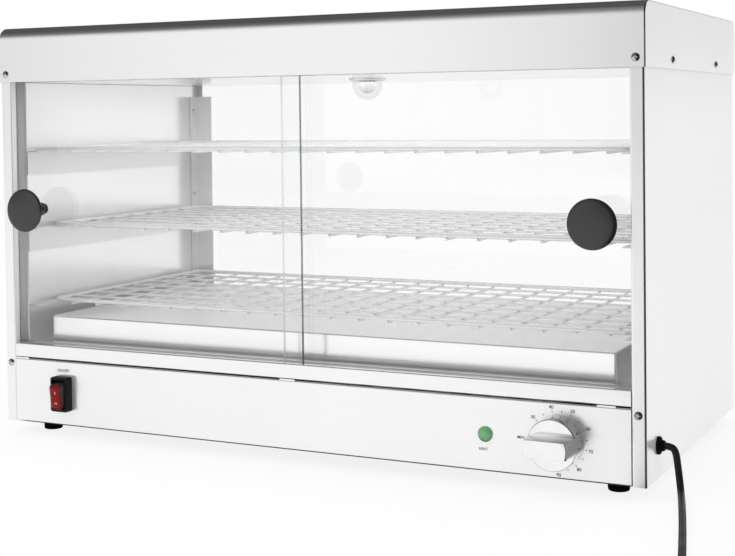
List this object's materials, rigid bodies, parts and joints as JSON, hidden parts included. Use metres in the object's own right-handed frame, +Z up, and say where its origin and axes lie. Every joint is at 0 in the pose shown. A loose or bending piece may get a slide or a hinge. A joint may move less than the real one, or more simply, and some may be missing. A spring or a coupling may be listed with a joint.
{
  "type": "heated display counter",
  "caption": "Countertop heated food display cabinet in stainless steel with sliding glass doors, wire shelves, a thermostat dial, a mains switch and a pilot lamp.",
  "frame": {"origin": "on the surface that the feet stand on, at the middle of the counter's width and of its depth with the dial knob", "axes": "+X to the right along the front, +Y from the front to the back, +Z up"},
  "size_m": [0.8978, 0.7561, 0.465],
  "materials": {
    "brushed_steel": "fine-brushed stainless sheet",
    "bright_steel": "bright stainless sheet",
    "screw_steel": "plain steel screws",
    "shelf_wire": "chromed wire",
    "door_glass": "clear toughened glass",
    "dark_plastic": "dark grey moulded plastic",
    "black_rubber": "black rubber and flexible PVC",
    "knob_plastic": "glossy black plastic",
    "dial_chrome": "satin chromed plastic",
    "red_plastic": "red moulded plastic",
    "clear_boot": "clear flexible cover",
    "green_lens": "green moulded lens",
    "ceramic": "white glazed ceramic",
    "brass": "turned brass",
    "copper": "drawn copper tube"
  },
  "bodies": {
    "cabinet": {"back_glass": "door_glass", "back_heating_element": "bright_steel", "back_panel": "brushed_steel", "base_tray": "brushed_steel", "bottom_door_rail": "dark_plastic", "cable_gland": "black_rubber", "canopy": "brushed_steel", "canopy_side_screws": "screw_steel", "ceiling_panel": "bright_steel", "control_panel": "brushed_steel", "cord_coil": "black_rubber", "door_sill": "brushed_steel", "element_supports": "bright_steel", "fascia_screws": "screw_steel", "feet": "black_rubber", "floor_plate": "bright_steel", "foot_screws": "screw_steel", "front_header": "bright_steel", "front_heating_element": "bright_steel", "heater_cover": "bright_steel", "lamp_bulb": "door_glass", "lamp_dome": "door_glass", "lamp_holder": "ceramic", "lamp_ring": "bright_steel", "left_corner_post": "bright_steel", "left_shelf_brackets": "bright_steel", "left_side_liner": "bright_steel", "left_side_panel": "brushed_steel", "mains_plug": "black_rubber", "pilot_body": "dark_plastic", "pilot_lens": "green_lens", "plug_lead": "black_rubber", "plug_pins": "brass", "post_rivets": "bright_steel", "power_cord": "black_rubber", "right_corner_post": "bright_steel", "right_shelf_brackets": "bright_steel", "right_side_liner": "bright_steel", "right_side_panel": "brushed_steel", "strip_screws": "screw_steel", "switch_body": "dark_plastic", "switch_surround": "dark_plastic", "terminal_block": "ceramic", "thermostat_body": "dark_plastic", "thermostat_probe": "copper", "top_door_rail": "dark_plastic"},
    "left_door": {"left_door_glass": "door_glass", "left_door_knob": "knob_plastic", "left_knob_screw": "screw_steel"},
    "right_door": {"right_door_glass": "door_glass", "right_door_knob": "knob_plastic", "right_knob_screw": "screw_steel"},
    "thermostat": {"thermostat_knob": "dial_chrome", "thermostat_spindle": "brass"},
    "switch": {"switch_rocker": "red_plastic", "switch_boot": "clear_boot"},
    "bottom_shelf": {"shelf_1": "shelf_wire"},
    "centre_shelf": {"shelf_2": "shelf_wire"},
    "top_shelf": {"shelf_3": "shelf_wire"}
  },
  "joints": [
    {"name": "left_door_slide", "type": "slide", "parent": "cabinet", "child": "left_door", "axis": [1, 0, 0], "range_m": [0, 0.305]},
    {"name": "right_door_slide", "type": "slide", "parent": "cabinet", "child": "right_door", "axis": [1, 0, 0], "range_m": [-0.305, 0]},
    {"name": "thermostat_turn", "type": "hinge", "parent": "cabinet", "child": "thermostat", "pos_m": [0.29, -0.17485, 0.0505], "axis": [0, 1, 0], "range_deg": [0, 270]},
    {"name": "switch_rock", "type": "hinge", "parent": "cabinet", "child": "switch", "pos_m": [-0.2935, -0.17485, 0.0505], "axis": [-1, 0, 0], "range_deg": [0, 16]},
    {"name": "bottom_shelf_lift", "type": "slide", "parent": "cabinet", "child": "bottom_shelf", "axis": [0, 0, 1], "range_m": [0, 0.05]},
    {"name": "centre_shelf_lift", "type": "slide", "parent": "cabinet", "child": "centre_shelf", "axis": [0, 0, 1], "range_m": [0, 0.05]},
    {"name": "top_shelf_lift", "type": "slide", "parent": "cabinet", "child": "top_shelf", "axis": [0, 0, 1], "range_m": [0, 0.048]}
  ]
}
